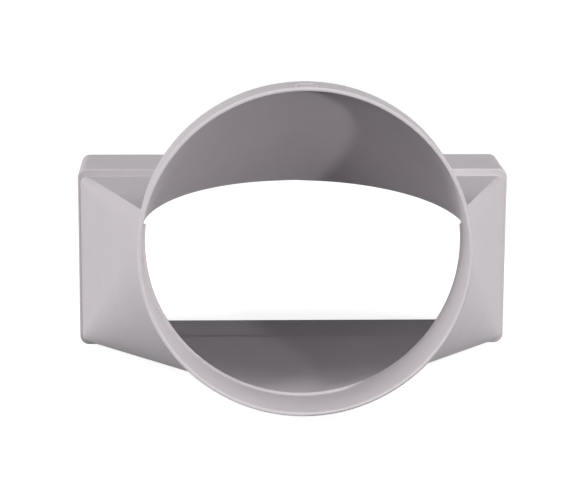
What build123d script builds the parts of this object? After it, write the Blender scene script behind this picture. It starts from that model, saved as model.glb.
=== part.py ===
"""Eccentric duct transition: a flat rectangular duct socket blended to a round pipe collar.

The part lies along +Y. Its origin is the centre of the round mouth, -Y points out of that
mouth and +Z is up. The collar axis is near the top of the rectangular socket, so that the
underside runs almost level and the upper half of the collar falls back as a sloping hood.
"""
from build123d import *

import os
from math import asin, atan, cos, degrees, radians, sin, tan

# Driving dimensions, in millimetres and degrees
duct_width = 220.0        # flat duct that slides into the rectangular socket
duct_height = 90.0
duct_gap = 0.2            # clearance on each side of the flat duct
pipe_diameter = 150.0     # round pipe that slides into the collar
pipe_gap = 0.7            # clearance round the pipe
wall = 1.8

duct_stop = 1.5           # ledge that the flat duct butts against, sides and bottom
duct_stop_top = 3.8       # the same ledge above the duct
pipe_stop = 1.5           # ledge that the pipe butts against
pipe_depth = 28.0         # depth of the pipe's ledge behind the round mouth
seat_relief = 0.6         # straight bore ends this far before the hood's inside
bore_draft = 1.0          # angle by which the bore narrows behind its straight length

collar_length = 30.0      # straight collar below the roof
collar_lean = 9.5         # angle by which the collar's rear end leans forward above the roof
transition_length = 115.0
socket_length = 43.0
axis_height = 81.4        # collar axis above the underside
roof_start = 15.0         # roof above the collar axis, where it leaves the collar

socket_corner = 4.5
socket_edge_round = 0.9
pocket_edge_round = 0.5
lip_outer_round = 0.6
lip_inner_round = 0.5
hood_turn_round = 5.0
hood_overlap = 0.9        # depth to which the hood is sunk below the roof's surface
rim_front = 9.0           # lower edge of the hood's wall above the collar axis, at the collar
rim_rear = 6.5            # height of the same edge at the duct socket

mark_width = 10.5         # raised bracket on top of the collar, open to the mouth
mark_length = 6.5
mark_from_mouth = 4.0
mark_line = 1.3
mark_height = 0.4

# Places worked out from them
bore_radius = pipe_diameter / 2 + pipe_gap
collar_radius = bore_radius + wall
neck_radius = bore_radius - pipe_stop

pocket_width = duct_width + 2 * duct_gap
pocket_height = duct_height + 2 * duct_gap
socket_width = pocket_width + 2 * wall
socket_height = pocket_height + 2 * wall
socket_bottom = -axis_height
socket_top = socket_bottom + socket_height
socket_front = collar_length + transition_length
socket_rear = socket_front + socket_length

body_half_width = socket_width / 2 - duct_stop
body_bottom = socket_bottom + duct_stop
body_top = socket_top - duct_stop_top
body_corner = socket_corner - duct_stop / 2

roof_fall = (roof_start - body_top) / transition_length
lean = tan(radians(collar_lean))
lean_at_axis = collar_length + lean * roof_start
hood_slope = (collar_radius - body_top) / (lean * collar_radius + socket_front - lean_at_axis)
hood_angle = atan(hood_slope)
inside_lean_shift = wall * (1 / cos(hood_angle) - 1 + hood_slope * lean) / hood_slope
pipe_seat = lean_at_axis - inside_lean_shift - lean * bore_radius - seat_relief


def section_at(y):
    """Sketch plane across the part at y, with x to the right and z up."""
    return Plane.XZ.offset(-y)


def roof_height(y):
    """Outer height of the sloping roof at y."""
    return body_top + (socket_front - y) * roof_fall


def roof_plane(drop):
    """Plane of the roof, lowered by drop, facing up."""
    return Plane((0, socket_front, body_top - drop), x_dir=(1, 0, 0), z_dir=(0, roof_fall, 1))


def rim_plane(drop):
    """Plane in which the hood's wall ends a little below the roof, lowered by drop, facing up."""
    fall = (rim_front - rim_rear) / transition_length
    return Plane((0, socket_front, rim_rear - drop), x_dir=(1, 0, 0), z_dir=(0, fall, 1))


def lean_plane(shift):
    """Plane in which the collar turns into the hood, moved forward by shift, facing back."""
    return Plane((0, lean_at_axis - shift, 0), x_dir=(1, 0, 0), z_dir=(0, 1, lean))


def body_end(shrink):
    """Rear outline of the body, clockwise: roof, corner, side, corner and so on."""
    edge = body_half_width - shrink
    top = body_top - shrink
    bottom = body_bottom + shrink
    corner = body_corner - shrink / 2
    flat = edge - corner
    with BuildLine(section_at(socket_front)):
        return [
            Line((-flat, top), (flat, top)),
            RadiusArc((flat, top), (edge, top - corner), corner),
            Line((edge, top - corner), (edge, bottom + corner)),
            RadiusArc((edge, bottom + corner), (flat, bottom), corner),
            Line((flat, bottom), (-flat, bottom)),
            RadiusArc((-flat, bottom), (-edge, bottom + corner), corner),
            Line((-edge, bottom + corner), (-edge, top - corner)),
            RadiusArc((-edge, top - corner), (-flat, top), corner),
        ]


def collar_end(start, radius, shrink):
    """Front outline of the body, clockwise: roof chord, then the circle's four arcs below it."""
    chord = roof_height(start) - shrink
    roof_angle = degrees(asin(chord / radius))
    half_chord = radius * cos(radians(roof_angle))
    with BuildLine(section_at(start)):
        return [
            Line((-half_chord, chord), (half_chord, chord)),
            CenterArc((0, 0), radius, roof_angle, -roof_angle),
            CenterArc((0, 0), radius, 0, -90),
            CenterArc((0, 0), radius, -90, -90),
            CenterArc((0, 0), radius, 180, -roof_angle),
        ]


def square_to_round(start, radius, shrink):
    """Body under the roof: flat triangles on the four sides, and part cones at the corners."""
    front = [line.edge() for line in collar_end(start, radius, shrink)]
    chord, right_upper, right_lower, left_lower, left_upper = front
    rear = [line.edge() for line in body_end(shrink)]
    roof, right_top, right_side, right_base, base, left_base, left_side, left_top = rear
    cones = [
        (right_upper, right_top),
        (right_lower, right_base),
        (left_lower, left_base),
        (left_upper, left_top),
    ]
    flats = [
        (chord @ 0, chord @ 1, roof @ 1, roof @ 0),
        (right_lower @ 0, right_side @ 0, right_side @ 1),
        (left_lower @ 0, base @ 0, base @ 1),
        (left_upper @ 0, left_side @ 0, left_side @ 1),
    ]
    faces = [Face.make_surface_from_curves(near, far) for near, far in cones]
    faces += [Face(Wire.make_polygon(corners)) for corners in flats]
    faces += [Face(Wire(front)), Face(Wire(rear))]
    return Solid(Shell(faces))


def round_collar(radius, length, straight, shift):
    """Collar from the mouth back, drafted behind its straight length, cut by the leaning plane."""
    with BuildPart() as tube:
        with BuildSketch(section_at(0)):
            Circle(radius)
        extrude(amount=-straight)
        if length > straight:
            rear = tube.faces().sort_by(Axis.Y)[-1]
            extrude(rear, amount=length - straight, taper=bore_draft)
        split(bisect_by=lean_plane(shift), keep=Keep.BOTTOM)
    return tube.part


def sloping_hood(radius, straight, shift, base):
    """Collar above the roof, cut at its leaning end and carried down the slope to the socket."""
    reach = 2 * (socket_front + radius)
    with BuildPart() as sloped:
        add(round_collar(radius, 2 * collar_length, straight, shift))
        turn = sloped.faces().sort_by(Axis.Y)[-1]
        extrude(turn, amount=reach, dir=(0, cos(hood_angle), -sin(hood_angle)))
        split(bisect_by=base, keep=Keep.TOP)
    return sloped.part


def body_inside():
    """Hollow of the body, without the hood's wall that hangs a little way into it."""
    with BuildPart() as inside:
        add(square_to_round(pipe_depth, neck_radius, wall))
        add(sloping_hood(collar_radius, 2 * collar_length, 0, rim_plane(0)), mode=Mode.SUBTRACT)
    return inside.part


def rectangular_length(front, rear, width, height, corner):
    """Rounded rectangular prism about the socket's centre line."""
    with BuildPart() as prism:
        with BuildSketch(section_at(front)):
            with Locations((0, (socket_top + socket_bottom) / 2)):
                RectangleRounded(width, height, corner)
        extrude(amount=front - rear)
    return prism.part


def duct_opening():
    """Opening through the ledge that the flat duct butts against."""
    outline = [line.edge() for line in body_end(wall)]
    with BuildPart() as opening:
        extrude(Face(Wire(outline)), amount=2 * wall, dir=(0, 1, 0))
    return opening.part


def top_mark():
    """Raised bracket outline on top of the collar, open towards the mouth."""
    middle = mark_from_mouth + mark_length / 2
    with BuildPart() as mark:
        with BuildSketch(Plane.XY.offset(collar_radius - mark_width)):
            with Locations((0, middle)):
                RectangleRounded(mark_width, mark_length, 2 * mark_line)
            with Locations((0, middle - mark_line)):
                RectangleRounded(mark_width - 2 * mark_line, mark_length, mark_line, mode=Mode.SUBTRACT)
        extrude(amount=2 * mark_width)
        with BuildSketch(section_at(0)):
            Circle(collar_radius + mark_height)
            Circle(collar_radius - mark_height, mode=Mode.SUBTRACT)
        extrude(amount=-collar_length, mode=Mode.INTERSECT)
    return mark.part


def lying_on(height, tolerance=0.01):
    """Filter for edges whose points all give zero for the height function."""
    return lambda edge: all(abs(height(edge @ place)) < tolerance for place in (0, 0.25, 0.5, 0.75, 1))


def beyond(half_width, bottom, top):
    """Filter for edges outside a rectangle seen along the part."""
    return lambda edge: not (abs((edge @ 0.5).X) < half_width and bottom < (edge @ 0.5).Z < top)


with BuildPart() as transition:
    add(square_to_round(collar_length, collar_radius, 0))
    add(round_collar(collar_radius, collar_length, collar_length, 0))
    add(sloping_hood(collar_radius, 2 * collar_length, 0, roof_plane(hood_overlap)))
    add(rectangular_length(socket_front, socket_rear, socket_width, socket_height, socket_corner))
    turn = transition.edges().filter_by(lying_on(lambda p: p.Y - lean_at_axis + lean * p.Z))
    fillet(turn, hood_turn_round)
    shoulder = transition.edges().filter_by(lying_on(lambda p: p.Y - socket_front))
    outline = shoulder.filter_by(beyond(body_half_width + duct_stop / 2, body_bottom - duct_stop / 2,
                                        socket_top - duct_stop_top / 2))
    fillet(outline, socket_edge_round)

    add(body_inside(), mode=Mode.SUBTRACT)
    add(round_collar(bore_radius, pipe_depth, pipe_seat, inside_lean_shift), mode=Mode.SUBTRACT)
    add(sloping_hood(bore_radius, pipe_seat, inside_lean_shift, rim_plane(hood_overlap)),
        mode=Mode.SUBTRACT)
    add(duct_opening(), mode=Mode.SUBTRACT)
    add(rectangular_length(socket_front + wall, socket_rear, pocket_width, pocket_height,
                           socket_corner - wall), mode=Mode.SUBTRACT)

    mouth = transition.edges().filter_by(lying_on(lambda p: p.Y)).sort_by(SortBy.LENGTH)
    fillet(mouth[0], lip_inner_round)
    lip = transition.edges().filter_by(lying_on(lambda p: p.Y)).sort_by(SortBy.LENGTH)
    fillet(lip[-1], lip_outer_round)
    rear = transition.edges().filter_by(lying_on(lambda p: p.Y - socket_rear))
    fillet(rear, pocket_edge_round)
    add(top_mark())
transition.part.label = "duct_transition"

os.makedirs("parts", exist_ok=True)
export_step(transition.part, "parts/duct_transition.step")
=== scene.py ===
"""Eccentric duct transition in light grey satin plastic, on a white studio floor."""
from math import radians

import bpy
from mathutils import Matrix, Vector


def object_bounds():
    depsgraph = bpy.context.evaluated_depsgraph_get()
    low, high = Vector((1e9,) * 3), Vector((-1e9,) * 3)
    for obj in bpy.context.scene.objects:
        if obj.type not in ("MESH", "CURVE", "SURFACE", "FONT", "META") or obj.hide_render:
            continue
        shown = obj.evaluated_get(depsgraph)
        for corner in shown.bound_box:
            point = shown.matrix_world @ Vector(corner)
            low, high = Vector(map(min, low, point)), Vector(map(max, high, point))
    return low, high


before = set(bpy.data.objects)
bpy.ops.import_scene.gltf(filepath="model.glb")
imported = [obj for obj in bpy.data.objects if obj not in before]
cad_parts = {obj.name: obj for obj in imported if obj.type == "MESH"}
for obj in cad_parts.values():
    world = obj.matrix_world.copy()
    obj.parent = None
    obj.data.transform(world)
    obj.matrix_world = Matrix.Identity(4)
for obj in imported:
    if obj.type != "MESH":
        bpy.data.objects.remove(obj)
cad_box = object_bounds()


# The transition is one hollow moulding in light grey plastic. The mould's satin finish
# leaves a fine grain and slightly rounded edges, and the plastic's flow leaves soft
# clouds in its colour, which also carries faint upright lighter and darker streaks.
class Socket:
    """A node's output in a tree, with the arithmetic that the materials need."""

    def __init__(self, tree, output):
        self.tree = tree
        self.output = output

    def node(self, kind, settings=None, out=0, **inputs):
        """Output of a new node, with its settings and then its inputs filled in."""
        made = self.tree.nodes.new(kind)
        for name, value in (settings or {}).items():
            setattr(made, name, value)
        for name, value in inputs.items():
            socket = made.inputs[int(name[1:]) if name[1:].isdigit() else name.replace("_", " ")]
            if isinstance(value, Socket):
                self.tree.links.new(value.output, socket)
            else:
                socket.default_value = value
        return Socket(self.tree, made.outputs[out])

    def math(self, operation, first, second):
        """Output of a Math node on two values, each a socket or a number."""
        return self.node("ShaderNodeMath", {"operation": operation}, _0=first, _1=second)

    def __add__(self, other):
        return self.math("ADD", self, other)

    def __radd__(self, other):
        return self.math("ADD", other, self)

    def __mul__(self, other):
        return self.math("MULTIPLY", self, other)

    def __rmul__(self, other):
        return self.math("MULTIPLY", other, self)


def new_material(name):
    """Empty material, its output node and a socket on the object's own coordinates."""
    material = bpy.data.materials.new(name)
    material.use_nodes = True
    tree = material.node_tree
    tree.nodes.clear()
    output = tree.nodes.new("ShaderNodeOutputMaterial")
    place = Socket(tree, tree.nodes.new("ShaderNodeTexCoord").outputs["Object"])
    return material, output, place


def moulded_plastic():
    """Satin light grey plastic, with its clouds, streaks, grain and rounded edges."""
    material, output, place = new_material("moulded_plastic")
    darker_grey = (0.544, 0.506, 0.550, 1.0)
    lighter_grey = (0.620, 0.578, 0.626, 1.0)
    upright_stretch = (1.0, 1.0, 0.12)
    grain_depth = 0.0001
    edge_radius = 0.0006

    clouds = place.node("ShaderNodeTexNoise", _0=place, Scale=14.0, Detail=3.0, Roughness=0.5)
    upright = place.node("ShaderNodeVectorMath", {"operation": "MULTIPLY"}, _0=place, _1=upright_stretch)
    streaks = place.node("ShaderNodeTexNoise", _0=upright, Scale=90.0, Detail=2.0, Roughness=0.5)
    grain = place.node("ShaderNodeTexNoise", _0=place, Scale=1500.0, Detail=2.0, Roughness=0.6)
    colour = place.node(
        "ShaderNodeMix", {"data_type": "RGBA"}, out=2,
        _0=0.6 * clouds + 0.4 * streaks, _6=darker_grey, _7=lighter_grey)
    rounded = place.node("ShaderNodeBevel", {"samples": 8}, Radius=edge_radius)
    bump = place.node(
        "ShaderNodeBump", Strength=0.12, Distance=grain_depth, Height=grain, Normal=rounded)
    # The specular level is low, because every reflection shows the white surroundings.
    surface = place.node(
        "ShaderNodeBsdfPrincipled", Base_Color=colour, Roughness=0.48 + 0.10 * clouds,
        IOR=1.5, Specular_IOR_Level=0.06, Normal=bump)
    place.tree.links.new(surface.output, output.inputs["Surface"])
    return material


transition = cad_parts["duct_transition"]
transition.data.materials.clear()
transition.data.materials.append(moulded_plastic())


# The floor is a wide matt sheet just under the part. The camera and reflections see it
# white, apart from the part's soft shadow, but it throws little light back up, so that
# the underside stays in shade.
def grey(level):
    """Neutral opaque colour."""
    return (level, level, level, 1.0)


def rays_that_see_white(tree):
    """Socket that is one for camera, glossy and transmission rays, and nought for others."""
    path = tree.nodes.new("ShaderNodeLightPath")
    return (
        Socket(tree, path.outputs["Is Camera Ray"])
        + Socket(tree, path.outputs["Is Glossy Ray"])
        + Socket(tree, path.outputs["Is Transmission Ray"]))


def white_floor():
    """Matt floor, shaded near the part and plain white further off."""
    material, output, place = new_material("white_floor")
    bounced_grey = 0.10
    seen_grey = 0.50
    glow_strength = 0.88
    shadow_reach = 0.3
    plain_white_from = 0.9

    plain = place.node("ShaderNodeBsdfDiffuse", Color=grey(bounced_grey))
    seen = place.node("ShaderNodeBsdfDiffuse", Color=grey(seen_grey))
    glow = place.node("ShaderNodeEmission", Color=grey(1.0), Strength=glow_strength)
    near = place.node("ShaderNodeAddShader", _0=seen, _1=glow)
    white = place.node("ShaderNodeEmission", Color=grey(1.0), Strength=1.0)
    distance = place.node("ShaderNodeVectorMath", {"operation": "LENGTH"}, out=1, _0=place)
    away = place.node(
        "ShaderNodeMapRange", {"interpolation_type": "SMOOTHSTEP"},
        Value=distance, From_Min=shadow_reach, From_Max=plain_white_from)
    bright = place.node("ShaderNodeMixShader", _0=away, _1=near, _2=white)
    mixed = place.node(
        "ShaderNodeMixShader", _0=rays_that_see_white(place.tree), _1=plain, _2=bright)
    place.tree.links.new(mixed.output, output.inputs["Surface"])
    return material


bpy.ops.object.select_all(action="DESELECT")
floor_size = 30.0
floor_gap = 0.0002
bpy.ops.mesh.primitive_plane_add(size=floor_size, location=(0, 0, cad_box[0].z - floor_gap))
floor = bpy.context.object
floor.name = "floor"
floor.data.materials.append(white_floor())


# The world is a white room: plain white to the camera and in reflections, and dim as a
# source of light, so that the softboxes do the lighting.
world = bpy.data.worlds.new("studio")
bpy.context.scene.world = world
world.use_nodes = True
room = world.node_tree
room.nodes.clear()
room_light = 0.02
white_ray = rays_that_see_white(room)
room_dim = white_ray.node("ShaderNodeBackground", Color=grey(1.0), Strength=room_light)
room_white = white_ray.node("ShaderNodeBackground", Color=grey(1.0), Strength=1.0)
room_mix = white_ray.node("ShaderNodeMixShader", _0=white_ray, _1=room_dim, _2=room_white)
room_output = room.nodes.new("ShaderNodeOutputWorld")
room.links.new(room_mix.output, room_output.inputs["Surface"])


# Softboxes stand low in front, on both sides and high on both sides, all turned to the
# middle of the part. A faint low one behind shows the duct end, without the highlight
# that would whiten the inside where the mouth shows it.
def softbox(name, place, target, width, height, power):
    """Faintly warm rectangular softbox at a place, turned to its target."""
    data = bpy.data.lights.new(name, "AREA")
    data.color = (1.0, 1.0, 0.965)
    data.shape = "RECTANGLE"
    data.size = width
    data.size_y = height
    data.energy = power
    lamp = bpy.data.objects.new(name, data)
    bpy.context.scene.collection.objects.link(lamp)
    lamp.location = place
    lamp.rotation_euler = (Vector(target) - Vector(place)).to_track_quat("-Z", "Y").to_euler()
    return lamp


middle = (0.0, 0.09, -0.02)
softbox("key_softbox", (1.75, -4.14, 0.58), middle, width=0.22, height=0.22, power=100.0)
softbox("left_softbox", (-3.9, -0.5, 0.5), middle, width=1.5, height=2.0, power=87.0)
softbox("right_softbox", (3.85, -0.95, 0.5), middle, width=1.5, height=2.0, power=62.0)
softbox("high_left_softbox", (-2.75, -1.38, 2.78), middle, width=1.75, height=1.75, power=72.0)
softbox("high_right_softbox", (2.75, -1.38, 2.78), middle, width=1.75, height=1.75, power=65.0)
softbox("front_left_softbox", (-2.5, -3.39, 0.91), middle, width=1.0, height=1.0, power=36.0)
rear = softbox("rear_softbox", (-0.4, 4.3, 0.16), middle, width=1.6, height=0.5, power=26.0)
rear.visible_glossy = False


# The camera stands at the photograph's place: in front of the round mouth, a little to
# the left of it, looking down and slightly to the right. Its angles are in degrees.
photo_width = 587
focal_pixels = 2239.4
camera_place = (-0.0466, -1.00067, 0.22897)
camera_yaw = 2.348
camera_pitch = 12.656
camera_roll = 0.347
camera_data = bpy.data.cameras.new("camera")
camera_data.lens = camera_data.sensor_width * focal_pixels / photo_width
camera = bpy.data.objects.new("camera", camera_data)
bpy.context.scene.collection.objects.link(camera)
turned = (
    Matrix.Rotation(radians(-camera_yaw), 4, "Z")
    @ Matrix.Rotation(radians(90.0 - camera_pitch), 4, "X")
    @ Matrix.Rotation(radians(camera_roll), 4, "Z")
)
camera.matrix_world = Matrix.Translation(camera_place) @ turned
bpy.context.scene.camera = camera

bpy.context.scene.view_settings.view_transform = "Standard"
